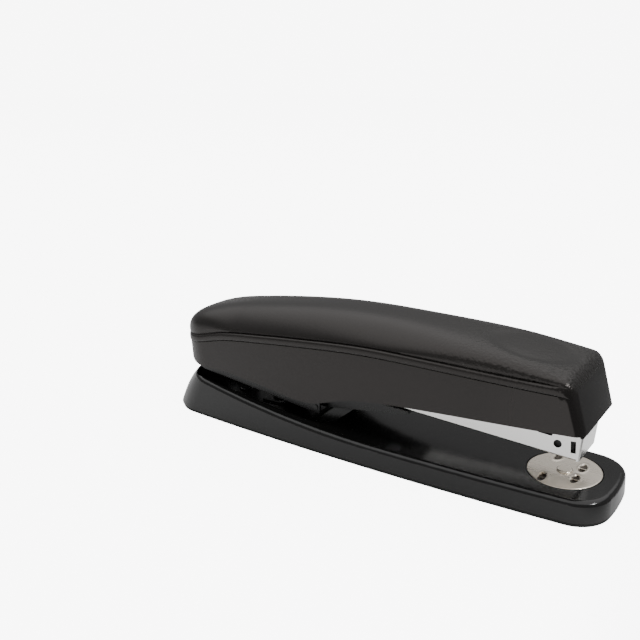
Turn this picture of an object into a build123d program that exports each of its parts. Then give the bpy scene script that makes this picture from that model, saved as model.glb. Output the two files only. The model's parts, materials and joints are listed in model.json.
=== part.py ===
from build123d import *
import os
from math import cos, radians, sin

# A full-strip desk stapler for 26/6 staples. Millimetres.
# +X runs to the nose, +Y to the left, +Z up. The origin is on the table, under the middle of the base.
# Three pieces of the object share one hinge pin at the rear: the base, the magazine and the handle.

# ---------------------------------------------------------------- driving dimensions
# 26/6 staple
staple_width = 12.9
staple_leg = 6.0
staple_wire = 0.55

# base
base_length = 165.0
base_half_width = 18.9        # at the middle of the bulged side
base_end_half_width = 16.4    # where the side meets the bowed end
base_end_bow = 2.5
base_corner = 11.0            # plan radius of the front corners
base_rear_corner = 14.4
base_wall = 2.2
sole_thickness = 1.2
sole_inset = 0.35
deck_height = 7.7
deck_flat_rear = 12.0         # the deck is level in front of this x
heel_height = 14.9
heel_rear = -73.0             # the heel's level top starts here
rim_fillet = 1.6
# the walls at four levels: height, lean of all walls, extra lean of the rear end
base_levels = [
    (sole_thickness, 0.0, 0.0),
    (5.5, 0.4, 1.8),
    (10.0, 0.85, 4.2),
    (heel_height, 1.3, 8.2),
]
cavity_height = 2.2           # hollow under the whole base, above the sole
deck_thickness = 2.0
trough_rear = -71.0
trough_front = -10.0
trough_half_width = 14.2
trough_floor = 5.0
trough_corner = 6.0

# hinge pin, shared by base, magazine and handle
pin_x = -65.0
pin_z = 20.0
pin_radius = 1.5
pin_running_gap = 0.05
lug_radius = 4.0

# magazine, in its own tilted frame: u forward from the pin, w up from the pin
mag_tilt = 2.5                # the magazine falls to the front by this much at rest
mag_floor = 1.3               # w of the channel's underside
mag_steel = 0.7
staple_side_gap = 0.25
mag_inner = staple_width / 2 + staple_side_gap
mag_half_width = mag_inner + mag_steel
mag_start = 3.5
mag_wall_rear = 9.8           # w of the walls' top edge, rear and front
mag_wall_front = 8.8
rail_steel = 0.6
rail_gap = 0.3
driver_slot = 1.2
driver_centre = 134.8         # u of the staple's line of travel
nose_thickness = 0.8
nose_top = 8.4                # w

# side plates on the pin, from the inside out: each clears the piece inside it
bracket_steel = 1.0
frame_steel = 1.0
carrier_steel = 0.8
clip_steel = 0.6
bracket_inner = mag_half_width + 0.5
frame_inner = bracket_inner + bracket_steel + 0.4
carrier_inner = frame_inner + frame_steel + 0.5
clip_inner = carrier_inner + carrier_steel + 0.15
clip_outer = clip_inner + clip_steel

# handle
press_angle = 3.2             # the handle turns this far on the magazine to drive a staple
cap_wall = 1.8
cap_front_wall = 0.9
cap_nose = -77.0
cap_front = 73.6              # lower edge of the leaning front face
cap_front_low = 26.2
cap_front_lean = 19.0         # the front face leans back by this much
cap_corner = 9.0
cap_half_width = clip_outer + cap_wall + 1.85    # at its widest, clear of the pin's clips
frame_roof = 31.3             # underside of the handle frame's roof

# anvil
anvil_x = 65.5
anvil_radius = 11.0
anvil_thickness = 1.2
anvil_proud = 0.1
anvil_gap = 0.3
anvil_rivet_radius = 1.6

fit_gap = 0.3                 # between faces of pieces that move past each other
seat_gap = 0.05               # between a fixed piece and the pocket that locates it

os.makedirs("parts", exist_ok=True)

# ---------------------------------------------------------------- planes and shared helpers
# the magazine's plane leans forward; the driver's plane is the same plane, lifted by the press angle
tilt = radians(mag_tilt)
lift = radians(press_angle - mag_tilt)
lean = radians(cap_front_lean)
mag_forward = (cos(tilt), 0, -sin(tilt))
pin_point = (pin_x, 0, pin_z)
mag_plan = Plane(origin=pin_point, x_dir=mag_forward, z_dir=(sin(tilt), 0, cos(tilt)))
mag_side = Plane(origin=pin_point, x_dir=mag_forward, z_dir=(0, -1, 0))
driver_plan = Plane(origin=pin_point, x_dir=(cos(lift), 0, sin(lift)), z_dir=(-sin(lift), 0, cos(lift)))
pin_side = Plane(origin=pin_point, x_dir=(1, 0, 0), z_dir=(0, -1, 0))
front_plan = Plane(
    origin=(cap_front, 0, cap_front_low),
    x_dir=(cos(lean), 0, sin(lean)),
    z_dir=(-sin(lean), 0, cos(lean)),
)


def write(builder, name):
    builder.part.label = name
    export_step(builder.part, f"parts/{name}.step")


def block(along, across, up, mode=Mode.ADD, plane=Plane.XY):
    """A rectangular block, given by its (low, high) extents on a plane."""
    with BuildSketch(plane.offset(up[0])) as profile:
        with Locations(((along[0] + along[1]) / 2, (across[0] + across[1]) / 2)):
            Rectangle(along[1] - along[0], across[1] - across[0])
    extrude(profile.sketch, amount=up[1] - up[0], mode=mode)


def disc(centre, radius, low, high, mode=Mode.ADD, plane=Plane.XY):
    """A round piece between two heights above a plane."""
    with BuildSketch(plane.offset(low)) as profile:
        with Locations(centre):
            Circle(radius)
    extrude(profile.sketch, amount=high - low, mode=mode)


def plate(points, inner, outer, centre=(0, 0), mode=Mode.ADD, plane=pin_side, lug=lug_radius):
    """A pair of flat side plates, left and right, with a round lug on the pin."""
    for side in (-1, 1):
        with BuildSketch(plane.offset(side * (inner + outer) / 2)) as profile:
            with BuildLine() as outline:
                Polyline(*points, close=True)
            make_face(outline.edges())
            with Locations(centre):
                Circle(lug)
        extrude(profile.sketch, amount=(outer - inner) / 2, both=True, mode=mode)


def cross_hole(radius, reach=40.0, mode=Mode.SUBTRACT):
    """A bar or hole on the hinge's axis, reaching the same distance to both sides."""
    disc((0, 0), radius, -reach, reach, mode, pin_side)


def base_outline(inset=0.0, rear_inset=0.0):
    """The base seen from above: bulged sides, bowed ends and round corners."""
    end = base_length / 2 - inset
    rear = end - rear_inset
    middle = base_half_width - inset
    front_x = end - base_end_bow
    rear_x = rear - base_end_bow
    corner_y = base_end_half_width - inset
    with BuildLine() as outline:
        ThreePointArc((front_x, -corner_y), (end, 0), (front_x, corner_y))
        ThreePointArc((front_x, corner_y), (0, middle), (-rear_x, corner_y))
        ThreePointArc((-rear_x, corner_y), (-rear, 0), (-rear_x, -corner_y))
        ThreePointArc((-rear_x, -corner_y), (0, -middle), (front_x, -corner_y))
    make_face(outline.edges())
    fillet(vertices().group_by(Axis.X)[0], radius=base_rear_corner - inset)
    fillet(vertices().group_by(Axis.X)[-1], radius=base_corner - inset)


# ---------------------------------------------------------------- base
cavity_top = sole_thickness + cavity_height
anvil_seat = deck_height + anvil_proud - anvil_thickness
anvil_pocket_roof = anvil_seat - deck_thickness
anvil_pocket_radius = 5.5
rib_gap = 1.6
pocket_ends = (-8.0, 22.0, 52.0)

plate_steel = 1.2
plate_half_width = 12.0
plate_ends = (-74.0, 50.0)
plate_corner = 6.0
plate_top = sole_thickness + plate_steel

screw_places = [(-16, -12), (-16, 12), (45, -8), (45, 8)]
screw_radius = 1.3
screw_head = 2.6
screw_head_height = 0.9
screw_reach = 2.4
boss_radius = 3.4

bracket_rise = trough_floor + bracket_steel
bracket_ends = (-70.0, -22.0)
bracket_outer = bracket_inner + bracket_steel
bracket_rivets_x = (-57.0, -41.0)
rivet_radius = 1.5
rivet_head = 2.6
rivet_dome = 0.8
leaf_steel = 0.6

with BuildPart() as base_shell:
    for height, inset, rear_inset in base_levels:
        with BuildSketch(Plane.XY.offset(height)):
            base_outline(inset, rear_inset)
    loft()
    # side view: level deck, then a slow rise to the heel
    with BuildSketch(Plane.XZ):
        with BuildLine():
            Polyline(
                (-base_length, heel_height),
                (-base_length, sole_thickness),
                (base_length / 2, sole_thickness),
                (base_length / 2, deck_height),
                (deck_flat_rear, deck_height),
            )
            Spline(
                (deck_flat_rear, deck_height),
                (-53, deck_height + 0.66 * (heel_height - deck_height)),
                (heel_rear, heel_height),
                tangents=((-1, 0), (-1, 0.09)),
            )
            Line((heel_rear, heel_height), (-base_length, heel_height))
        make_face()
    extrude(amount=base_half_width + 1, both=True, mode=Mode.INTERSECT)
    # the rim runs all round: along the deck, up the rise and down the rear corners
    rim = base_shell.edges().filter_by(
        lambda e: e.center().Z > sole_thickness + rim_fillet
        and (abs(e.center().Y) > trough_half_width / 2 or e.center().X > 0)
        and e.bounding_box().size.Z < heel_height - sole_thickness
    )
    fillet(rim, radius=rim_fillet)
    # trough around the hinge
    with BuildSketch(Plane.XY.offset(trough_floor)):
        with Locations(((trough_rear + trough_front) / 2, 0)):
            RectangleRounded(trough_front - trough_rear, 2 * trough_half_width, trough_corner)
    extrude(amount=heel_height, mode=Mode.SUBTRACT)
    # hollow underside, with pockets under the deck that leave cross ribs
    with BuildSketch(Plane.XY.offset(sole_thickness)):
        base_outline(base_wall)
    extrude(amount=cavity_height, mode=Mode.SUBTRACT)
    for rear, front in zip(pocket_ends, pocket_ends[1:]):
        block(
            (rear + rib_gap / 2, front - rib_gap / 2),
            (-trough_half_width, trough_half_width),
            (cavity_top - 0.1, deck_height - deck_thickness),
            Mode.SUBTRACT,
        )
    # round seat of the anvil, and the hole and pocket of its rivet
    disc((anvil_x, 0), anvil_radius + anvil_gap, anvil_seat, heel_height, Mode.SUBTRACT)
    disc((anvil_x, 0), anvil_rivet_radius + pin_running_gap, 0, heel_height, Mode.SUBTRACT)
    disc((anvil_x, 0), anvil_pocket_radius, 0, anvil_pocket_roof, Mode.SUBTRACT)
    # bosses for the screws and the bracket's rivets, down to the plate
    for place in screw_places:
        disc(place, boss_radius, plate_top, deck_height - deck_thickness / 2 if place[0] > 0 else cavity_top)
        disc(place, screw_radius, 0, plate_top + screw_reach, Mode.SUBTRACT)
    for x in bracket_rivets_x:
        disc((x, 0), boss_radius, plate_top, cavity_top)
        disc((x, 0), rivet_radius, 0, heel_height, Mode.SUBTRACT)
write(base_shell, "base_shell")

with BuildPart() as base_sole:
    with BuildSketch(Plane.XY):
        base_outline(sole_inset)
    extrude(amount=sole_thickness)
    disc((anvil_x, 0), anvil_pocket_radius, 0, sole_thickness, Mode.SUBTRACT)
    for place in screw_places:
        disc(place, screw_head + fit_gap, 0, sole_thickness, Mode.SUBTRACT)
write(base_sole, "base_sole")

# steel plate in the hollow underside: it ties the hinge bracket to the shell
with BuildPart() as base_plate:
    block(plate_ends, (-plate_half_width, plate_half_width), (sole_thickness, plate_top))
    for place in screw_places:
        disc(place, boss_radius, sole_thickness, plate_top)
    fillet(base_plate.edges().filter_by(Axis.Z).group_by(Axis.X)[0], radius=plate_corner)
    for place in screw_places:
        disc(place, screw_radius, 0, heel_height, Mode.SUBTRACT)
    for x in bracket_rivets_x:
        disc((x, 0), rivet_radius, 0, heel_height, Mode.SUBTRACT)
write(base_plate, "base_plate")

with BuildPart() as base_screws:
    for place in screw_places:
        disc(place, screw_radius, sole_thickness, plate_top + screw_reach)
        disc(place, screw_head, sole_thickness - screw_head_height, sole_thickness)
        block(
            (place[0] - screw_head, place[0] + screw_head),
            (place[1] - 0.4, place[1] + 0.4),
            (0, sole_thickness - screw_head_height / 2),
            Mode.SUBTRACT,
        )
write(base_screws, "base_screws")

# ---------------------------------------------------------------- hinge bracket, pin and return spring
foot = trough_floor - pin_z
with BuildPart() as hinge_bracket:
    block(bracket_ends, (-bracket_outer, bracket_outer), (trough_floor, bracket_rise))
    plate(
        [(-lug_radius, 0), (-4.9, foot), (9.0, foot), (lug_radius, -2.0), (lug_radius, 0)],
        bracket_inner,
        bracket_outer,
    )
    cross_hole(pin_radius)
    for x in bracket_rivets_x:
        disc((x, 0), rivet_radius, 0, bracket_rise, Mode.SUBTRACT)
write(hinge_bracket, "hinge_bracket")

with BuildPart() as hinge_pin:
    cross_hole(pin_radius, clip_outer, Mode.ADD)
    chamfer(hinge_pin.edges().filter_by(GeomType.CIRCLE), length=0.3)
write(hinge_pin, "hinge_pin")

with BuildPart() as pin_clips:
    for side in (-1, 1):
        disc(
            (0, 0),
            pin_radius + 1.0,
            side * clip_inner if side > 0 else -clip_outer,
            side * clip_outer if side > 0 else -clip_inner,
            Mode.ADD,
            pin_side,
        )
    cross_hole(pin_radius)
write(pin_clips, "pin_clips")

# leaf spring: a foot under the second rivet, then up to the magazine carrier
carrier_low = mag_floor - carrier_steel
spring_tip_u = 49.0
spring_tip = mag_plan.from_local_coords((spring_tip_u, 0, carrier_low - fit_gap - leaf_steel / 2))
leaf_width = 10.0
leaf_level = bracket_rise + leaf_steel / 2
with BuildPart() as return_spring:
    with BuildSketch(Plane.XZ):
        with BuildLine() as leaf:
            Polyline(
                (bracket_rivets_x[1] - 4, leaf_level),
                (bracket_rivets_x[1] + 4, leaf_level),
                (spring_tip.X - 3, spring_tip.Z - 0.4),
                (spring_tip.X, spring_tip.Z),
            )
        trace(leaf.line, line_width=leaf_steel)
    extrude(amount=leaf_width / 2, both=True)
    disc((bracket_rivets_x[1], 0), rivet_radius, 0, bracket_rise + 3, Mode.SUBTRACT)
write(return_spring, "return_spring")

with BuildPart() as bracket_rivets:
    for x, seat in zip(bracket_rivets_x, (bracket_rise, bracket_rise + leaf_steel)):
        disc((x, 0), rivet_radius, sole_thickness, seat)
        disc((x, 0), rivet_head, seat, seat + rivet_dome)
        fillet(bracket_rivets.edges().group_by(Axis.Z)[-1], radius=rivet_dome * 0.7)
write(bracket_rivets, "bracket_rivets")

# ---------------------------------------------------------------- anvil
anvil_top = anvil_seat + anvil_thickness
groove_spacing = 7.4
groove_length = 5.0
groove_width = 2.1
groove_depth = 0.5
clinch_offset = 4.3
pinning_spacing = 14.6
pinning_length = 3.6
anvil_rivet_head = 2.4
anvil_rivet_dome = 0.5
washer_radius = 4.4
washer_steel = 0.4
washer_low = anvil_pocket_roof - 0.1 - washer_steel
rivet_foot = 0.8

with BuildPart() as anvil_plate:
    disc((anvil_x, 0), anvil_radius, anvil_seat + seat_gap, anvil_top)
    fillet(anvil_plate.edges().group_by(Axis.Z)[-1], radius=0.3)
    with BuildSketch(Plane.XY.offset(anvil_top - groove_depth)):
        for side in (-1, 1):
            with Locations((anvil_x + clinch_offset, side * groove_spacing / 2)):
                SlotOverall(groove_length, groove_width, rotation=90)
            with Locations((anvil_x - clinch_offset, side * pinning_spacing / 2)):
                SlotOverall(pinning_length, groove_width, rotation=90)
    extrude(amount=anvil_thickness, mode=Mode.SUBTRACT)
    disc((anvil_x, 0), anvil_rivet_radius, 0, heel_height, Mode.SUBTRACT)
write(anvil_plate, "anvil_plate")

with BuildPart() as anvil_rivet:
    disc((anvil_x, 0), anvil_rivet_radius, washer_low - rivet_foot, anvil_top)
    disc((anvil_x, 0), anvil_rivet_head, anvil_top, anvil_top + anvil_rivet_dome)
    fillet(anvil_rivet.edges().group_by(Axis.Z)[-1], radius=anvil_rivet_dome * 0.8)
    disc((anvil_x, 0), anvil_rivet_head, washer_low - rivet_foot, washer_low)
write(anvil_rivet, "anvil_rivet")

with BuildPart() as anvil_washer:
    disc((anvil_x, 0), washer_radius, washer_low, washer_low + washer_steel)
    disc((anvil_x, 0), anvil_rivet_radius, 0, heel_height, Mode.SUBTRACT)
write(anvil_washer, "anvil_washer")

# button under the base that lifts the anvil out of its seat to turn it
button_low = 0.5
button_radius = anvil_pocket_radius - 0.9
with BuildPart() as anvil_button:
    disc((anvil_x, 0), button_radius, button_low, washer_low - rivet_foot)
    chamfer(anvil_button.edges().group_by(Axis.Z)[0], length=0.4)
write(anvil_button, "anvil_button")

# ---------------------------------------------------------------- magazine
mag_bed = mag_floor + mag_steel
rail_top = mag_bed + staple_leg
rail_half_width = staple_width / 2 - staple_wire - rail_gap
rail_start = mag_start + 1.5
rail_end = driver_centre - driver_slot / 2
nose_back = driver_centre + driver_slot / 2
nose_front = nose_back + nose_thickness
wall_step_u = 64.0            # the walls' top edge slopes down from here to the notch
notch = (123.5, 127.5)
notch_w = 6.9
sight_hole = (129.5, 5.05)
sight_hole_radius = 1.2
slot_hole = (134.0, 5.3)
slot_hole_size = (1.5, 3.6)
slot_hole_lean = 8.0
mag_rivets_u = (22.0, 72.0)

with BuildPart() as magazine_channel:
    across = (-mag_half_width, mag_half_width)
    block((mag_start, nose_back), across, (mag_floor, mag_wall_rear), plane=mag_plan)
    fillet(magazine_channel.edges().filter_by(lambda e: e.length > 100).group_by(Axis.Z)[0], radius=0.6)
    inside = (-mag_inner, mag_inner)
    block((0, nose_front), inside, (mag_bed, mag_wall_rear + 1), Mode.SUBTRACT, mag_plan)
    block((rail_end, nose_front), inside, (0, mag_wall_rear), Mode.SUBTRACT, mag_plan)
    # top edge of the walls, with the loading notch, and the holes in the nose's sides
    with BuildSketch(mag_side):
        with BuildLine():
            Polyline(
                (wall_step_u, mag_wall_rear),
                (notch[0], mag_wall_front),
                (notch[0], notch_w),
                (notch[1], notch_w),
                (notch[1] + 0.6, mag_wall_front),
                (nose_front, mag_wall_front),
                (nose_front, mag_wall_rear + 1),
                (wall_step_u, mag_wall_rear + 1),
                close=True,
            )
        make_face()
        with Locations(sight_hole):
            Circle(sight_hole_radius)
        with Locations(slot_hole):
            Rectangle(*slot_hole_size, rotation=slot_hole_lean)
    extrude(amount=mag_half_width + 1, both=True, mode=Mode.SUBTRACT)
    for u in mag_rivets_u:
        disc((u, 0), rivet_radius, 0, mag_bed + 0.1, Mode.SUBTRACT, mag_plan)
write(magazine_channel, "magazine_channel")

with BuildPart() as nose_plate:
    block((nose_back, nose_front), across, (mag_floor, nose_top), plane=mag_plan)
    nose_corners = nose_plate.edges().filter_by(lambda e: 7 < e.length < 8).sort_by(Axis.X)[-2:]
    fillet(nose_corners, radius=nose_thickness * 0.9)
write(nose_plate, "nose_plate")

cover_steel = 0.6
cover_front = 20.0
with BuildPart() as rear_cover:
    block((mag_start, cover_front), across, (mag_wall_rear, mag_wall_rear + cover_steel), plane=mag_plan)
    block((mag_start, mag_start + 1.0), inside, (mag_bed, mag_wall_rear), plane=mag_plan)
write(rear_cover, "rear_cover")

# rail under the staples' crowns: an inverted channel with closed ends and a long slot
rail_inner = rail_half_width - rail_steel
rail_under = rail_top - rail_steel
tongue_slot = 1.8
tongue_slot_start = rail_start + 14
with BuildPart() as staple_rail:
    block((rail_start, rail_end), (-rail_half_width, rail_half_width), (mag_bed, rail_top), plane=mag_plan)
    fillet(staple_rail.edges().filter_by(lambda e: e.length > 100).group_by(Axis.Z)[-1], radius=0.5)
    rail_bore = (rail_start + rail_steel, rail_end - rail_steel)
    block(rail_bore, (-rail_inner, rail_inner), (mag_bed, rail_under), Mode.SUBTRACT, mag_plan)
    block(
        (tongue_slot_start, rail_end - 1.2),
        (-tongue_slot, tongue_slot),
        (rail_under - 0.5, rail_top + 1),
        Mode.SUBTRACT,
        mag_plan,
    )
write(staple_rail, "staple_rail")

# guide rod between the rail's closed ends, with the coil spring behind the follower's tongue
rod_radius = 1.0
rod_w = mag_bed + 2.7
rod_length = rail_bore[1] - rail_bore[0]
rod_section = Plane(
    origin=mag_plan.from_local_coords((rail_bore[0], 0, rod_w)),
    x_dir=(0, 1, 0),
    z_dir=mag_forward,
)
with BuildPart() as guide_rod:
    disc((0, 0), rod_radius, 0, rod_length, plane=rod_section)
write(guide_rod, "guide_rod")

follower_length = 20.0
follower_steel = 0.5
follower_front = rail_end - fit_gap
follower_back = follower_front - follower_length
follower_half = mag_inner - 0.2
follower_roof = rail_top + fit_gap
tongue = (follower_front - 3.6, follower_front - 1.8)
spring_outer = 2.1
spring_inner = 1.4
with BuildPart() as follower:
    block(
        (follower_back, follower_front),
        (-follower_half, follower_half),
        (mag_bed + fit_gap, follower_roof + follower_steel),
        plane=mag_plan,
    )
    block(
        (follower_back - 1, follower_front + 1),
        (-rail_half_width - 0.2, rail_half_width + 0.2),
        (0, follower_roof),
        Mode.SUBTRACT,
        mag_plan,
    )
    block(
        tongue,
        (-tongue_slot + fit_gap, tongue_slot - fit_gap),
        (rod_w - 2.2, follower_roof + 0.1),
        plane=mag_plan,
    )
    disc((0, 0), rod_radius + 0.1, -1, rod_length + 1, Mode.SUBTRACT, rod_section)
write(follower, "follower")

spring_length = tongue[0] - rail_bore[0] - 0.1
with BuildPart() as follower_spring:
    disc((0, 0), spring_outer, 0, spring_length, plane=rod_section)
    disc((0, 0), spring_inner, 0, spring_length, Mode.SUBTRACT, rod_section)
write(follower_spring, "follower_spring")

# ---------------------------------------------------------------- magazine carrier
carrier_start = 10.0
carrier_step_u = 50.5
carrier_nose_u = 82.0
carrier_outer = carrier_inner + carrier_steel
carrier_nose_half = mag_half_width + 1.0
carrier_drop = -5.8
with BuildPart() as magazine_carrier:
    roof = (carrier_low, mag_floor)
    block((carrier_start, carrier_step_u), (-carrier_outer, carrier_outer), roof, plane=mag_plan)
    block((carrier_start, carrier_nose_u), (-carrier_nose_half, carrier_nose_half), roof, plane=mag_plan)
    plate(
        [
            (0, lug_radius),
            (carrier_start, mag_floor),
            (carrier_step_u, mag_floor),
            (carrier_step_u, -7.3),
            (8.0, -4.4),
            (0, -lug_radius),
        ],
        carrier_inner,
        carrier_outer,
        plane=mag_side,
    )
    # narrow nose that goes on under the channel
    plate(
        [
            (carrier_step_u - 12, mag_floor),
            (carrier_nose_u, mag_floor),
            (carrier_nose_u, carrier_low),
            (carrier_step_u, carrier_drop),
            (carrier_step_u - 12, carrier_drop),
        ],
        carrier_nose_half - carrier_steel,
        carrier_nose_half,
        centre=(carrier_step_u - 10, mag_floor - 2),
        plane=mag_side,
        lug=1.5,
    )
    # small pressed stud at the front end of each cheek
    for side in (-1, 1):
        with BuildSketch(mag_side.offset(side * carrier_outer)) as stud:
            with Locations((carrier_step_u - 1.6, -5.2)):
                Circle(0.9)
        extrude(stud.sketch, amount=0.3, both=True)
    cross_hole(pin_radius + pin_running_gap)
    for u in mag_rivets_u:
        disc((u, 0), rivet_radius, carrier_low - 1, mag_floor + 0.1, Mode.SUBTRACT, mag_plan)
write(magazine_carrier, "magazine_carrier")

with BuildPart() as magazine_rivets:
    for u in mag_rivets_u:
        disc((u, 0), rivet_head, carrier_low - 0.5, carrier_low, plane=mag_plan)
        disc((u, 0), rivet_radius, carrier_low, mag_bed, plane=mag_plan)
write(magazine_rivets, "magazine_rivets")

# ---------------------------------------------------------------- handle cap
# sections of the cap: x, narrowing, height of the shoulder line, height of the crown
cap_sections = [
    (-80.0, 1.1, 26.0, 33.0),
    (-62.0, 0.7, 30.4, 38.0),
    (-38.0, 0.2, 34.8, 42.5),
    (-12.0, 0.0, 37.6, 45.8),
    (14.0, 0.0, 39.1, 46.4),
    (44.0, 0.3, 39.1, 44.9),
    (76.0, 1.1, 39.0, 40.5),
]
shoulder_lip = 0.35           # the crown overhangs the skirt by this much
lip_height = 1.2
crown_drop = 0.4              # how tightly the crown turns down into the sides
crown_flat = 0.8
cap_front_corner = 3.6
cap_rear_half = cap_half_width - 2.4
cap_front_half = cap_half_width - 1.8
cap_end_flare = 0.16          # the sides widen this much per millimetre behind an end
cap_nose_level = 22.8         # the rear end is upright at this height
cap_top_round = 2.0           # round edge between the crown and the front face
cap_rear_round = 3.0
cap_space = 90.0              # reach of the cutters that shape the cap
edge_joint_x = 20.0           # the lower edge is curved behind this x, straight before it
edge_joint_z = 22.7
edge_slope = (cap_front_low - edge_joint_z) / (cap_front - edge_joint_x)


def cap_form(inset=0.0):
    """The cap as a solid, or the space inside it when inset by the wall."""
    with BuildPart() as form:
        for x, narrowing, shoulder, crown in cap_sections:
            side = cap_half_width - narrowing - inset
            skirt = side - shoulder_lip
            top = crown - inset
            bend = shoulder - inset / 2
            with BuildSketch(Plane(origin=(x, 0, 0), x_dir=(0, 1, 0), z_dir=(1, 0, 0))):
                with BuildLine() as section:
                    Polyline(
                        (-side, bend),
                        (-skirt, bend - lip_height),
                        (-skirt, 0),
                        (skirt, 0),
                        (skirt, bend - lip_height),
                        (side, bend),
                    )
                    Bezier((side, bend), (side, top - crown_drop), (side * crown_flat, top), (0, top))
                    Bezier((0, top), (-side * crown_flat, top), (-side, top - crown_drop), (-side, bend))
                make_face(section.edges())
        loft()
        # side view: the nose at the rear, and the lower edge; the hollow is open below
        rear = cap_nose + inset
        with BuildSketch(Plane.XZ):
            with BuildLine() as side_view:
                if inset:
                    Polyline((rear, cap_nose_level), (rear, 0), (cap_space, 0), (cap_space, cap_space))
                else:
                    ThreePointArc((rear, cap_nose_level), (rear + 1.7, 19.9), (rear + 6.5, 18.3))
                    Spline(
                        (rear + 6.5, 18.3),
                        (-53, 18.7),
                        (-36, 17.3),
                        (-17, 15.6),
                        (0, 20.2),
                        (edge_joint_x, edge_joint_z),
                        tangents=((1, 0), (1, 0.12)),
                    )
                    Polyline(
                        (edge_joint_x, edge_joint_z),
                        (cap_space, edge_joint_z + edge_slope * (cap_space - edge_joint_x)),
                        (cap_space, cap_space),
                    )
                Spline(
                    (rear, cap_nose_level),
                    (rear + 4, 34.0),
                    (rear + 12, 38.6),
                    tangents=((0, 1), (1, 0.35)),
                )
                Polyline((rear + 12, 38.6), (rear + 12, cap_space), (cap_space, cap_space))
            make_face(side_view.edges())
        extrude(amount=2 * cap_half_width, both=True, mode=Mode.INTERSECT)
        # round corners of the rear end, and of the leaning front face
        ends = (
            (Plane.XY, rear, 1, cap_rear_half - inset, cap_corner - inset / 2),
            (
                front_plan.offset(-cap_space),
                -cap_front_wall if inset else 0,
                -1,
                cap_front_half - inset,
                cap_front_corner - inset / 2,
            ),
        )
        for plane, face, inward, half, corner in ends:
            far = face + inward * 2 * cap_space
            wide = half + 2 * cap_space * cap_end_flare
            with BuildSketch(plane) as plan:
                with BuildLine() as plan_line:
                    Polyline((face, half), (far, wide), (far, -wide), (face, -half), close=True)
                make_face(plan_line.edges())
                fillet(plan.vertices().sort_by(Axis.X)[::inward][:2], radius=corner)
            extrude(amount=2 * cap_space, mode=Mode.INTERSECT)
    return form.part


cap_screws_x = (-8.0, 42.0)
cap_boss_radius = 3.0
cap_screw_radius = 1.2
cap_screw_head = 2.4
cap_screw_bite = 7.0
frame_top = frame_roof + frame_steel
# hollow of the cap, less the two screw bosses that reach down to the frame
with BuildPart() as cap_hollow:
    add(cap_form(cap_wall))
    for x in cap_screws_x:
        disc((x, 0), cap_boss_radius, frame_top, 60, Mode.SUBTRACT)
        disc((x, 0), cap_screw_radius, frame_top, frame_top + cap_screw_bite)

# thumb rest: a shallow dish pressed into the front of the crown
dish_x = 55.0
dish_radius = 90.0
dish_low = 43.57              # height of the dish at its middle
dish_lean = radians(7.0)
with BuildPart() as cap_shell:
    add(cap_form())
    rear_edges = cap_shell.edges().filter_by(
        lambda e: e.center().X < -60 and e.bounding_box().min.Z > 28 and e.bounding_box().max.X < -55
    )
    fillet(rear_edges, radius=cap_rear_round)
    front_edges = cap_shell.edges().filter_by(
        lambda e: e.center().X > 64 and e.bounding_box().min.Z > 38 and e.bounding_box().min.X > 60
    )
    fillet(front_edges, radius=cap_top_round)
    with Locations((dish_x + dish_radius * sin(dish_lean), 0, dish_low + dish_radius * cos(dish_lean))):
        Sphere(dish_radius, mode=Mode.SUBTRACT)
    add(cap_hollow.part, mode=Mode.SUBTRACT)
write(cap_shell, "cap_shell")

# ---------------------------------------------------------------- handle frame, driver and springs
frame_outer = frame_inner + frame_steel
frame_rear = -6.0
frame_front = 133.0
flange = 5.0
driver_rivet_x = 61.0
driver_rivet_radius = 1.2
leaf_rivet_x = -24.0
roof_level = frame_roof - pin_z
with BuildPart() as handle_frame:
    block(
        (pin_x + frame_rear, pin_x + frame_front),
        (-frame_outer, frame_outer),
        (frame_roof, frame_top),
    )
    plate(
        [
            (frame_rear, roof_level),
            (frame_front, roof_level),
            (frame_front, roof_level - flange * 0.6),
            (frame_front - 8, roof_level - flange),
            (14.0, roof_level - flange),
            (lug_radius, 0),
            (-lug_radius, 0),
        ],
        frame_inner,
        frame_outer,
    )
    cross_hole(pin_radius + pin_running_gap)
    for x in cap_screws_x:
        disc((x, 0), cap_screw_radius, 0, frame_top, Mode.SUBTRACT)
    for x in (driver_rivet_x, leaf_rivet_x):
        disc((x, 0), driver_rivet_radius, 0, frame_top, Mode.SUBTRACT)
write(handle_frame, "handle_frame")

with BuildPart() as cap_screws:
    for x in cap_screws_x:
        disc((x, 0), cap_screw_radius, frame_roof, frame_top + cap_screw_bite)
        disc((x, 0), cap_screw_head, frame_roof - 0.7, frame_roof)
write(cap_screws, "cap_screws")

# driver: a hardened blade with a flange riveted under the front of the roof
driver_steel = 0.6
driver_half_width = staple_width / 2 - 0.15
with BuildPart() as driver_blade:
    blade = (driver_centre - driver_steel / 2, driver_centre + driver_steel / 2)
    across_blade = (-driver_half_width, driver_half_width)
    block(blade, across_blade, (mag_floor, mag_floor + 12), plane=driver_plan)
    block((driver_rivet_x - 4, pin_x + blade[1]), across_blade, (frame_roof - driver_steel, frame_roof))
    block((driver_rivet_x - 10, 90), (-30, 30), (frame_roof, 60), Mode.SUBTRACT)
    disc((driver_rivet_x, 0), driver_rivet_radius, 0, frame_roof, Mode.SUBTRACT)
write(driver_blade, "driver_blade")

with BuildPart() as driver_rivet:
    disc((driver_rivet_x, 0), driver_rivet_radius, frame_roof - driver_steel, frame_top)
    disc((driver_rivet_x, 0), 2 * driver_rivet_radius, frame_top, frame_top + 0.7)
write(driver_rivet, "driver_rivet")

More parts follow.
